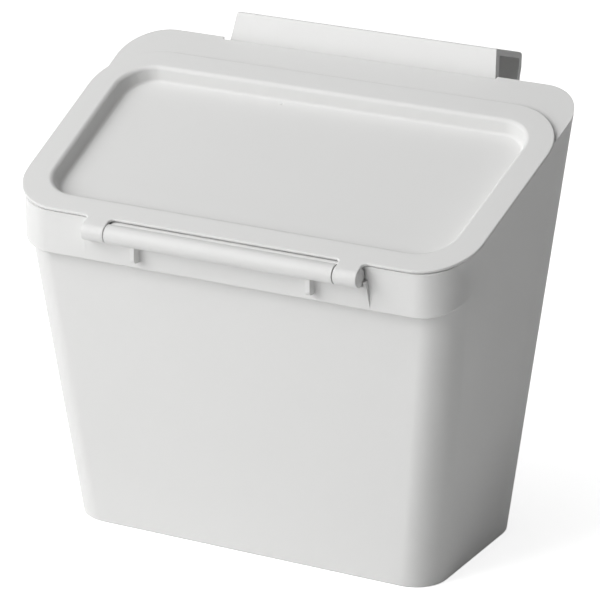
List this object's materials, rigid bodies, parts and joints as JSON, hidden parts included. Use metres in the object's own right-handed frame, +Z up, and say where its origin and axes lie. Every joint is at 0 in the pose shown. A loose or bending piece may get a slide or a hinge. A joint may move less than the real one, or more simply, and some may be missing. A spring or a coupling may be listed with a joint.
{
  "type": "door-mounted waste bin",
  "caption": "Tapered kitchen waste bin with a sloping front-hinged lid and a tilting bracket that hooks over a cabinet door.",
  "frame": {"origin": "centre of the base's underside, on the surface the bin stands on", "axes": "+X along the width, +Y from the front towards the door, +Z up; lid shut, bracket leaning back on its heel"},
  "size_m": [0.2062, 0.148, 0.1918],
  "materials": {
    "body_plastic": "satin moulded polypropylene, light warm grey",
    "lid_plastic": "satin moulded polypropylene, light warm grey",
    "bracket_plastic": "satin moulded polypropylene, off-white grey"
  },
  "bodies": {
    "body": {"bin_body": "body_plastic"},
    "lid": {"lid": "lid_plastic"},
    "bracket": {"door_bracket": "bracket_plastic"}
  },
  "joints": [
    {"name": "lid_hinge", "type": "hinge", "parent": "body", "child": "lid", "pos_m": [0, -0.06195, 0.1328], "axis": [1, 0, 0], "range_deg": [0, 190]},
    {"name": "bracket_hinge", "type": "hinge", "parent": "body", "child": "bracket", "pos_m": [0, 0.05245, 0.171], "axis": [1, 0, 0], "range_deg": [0, 17.5]}
  ]
}
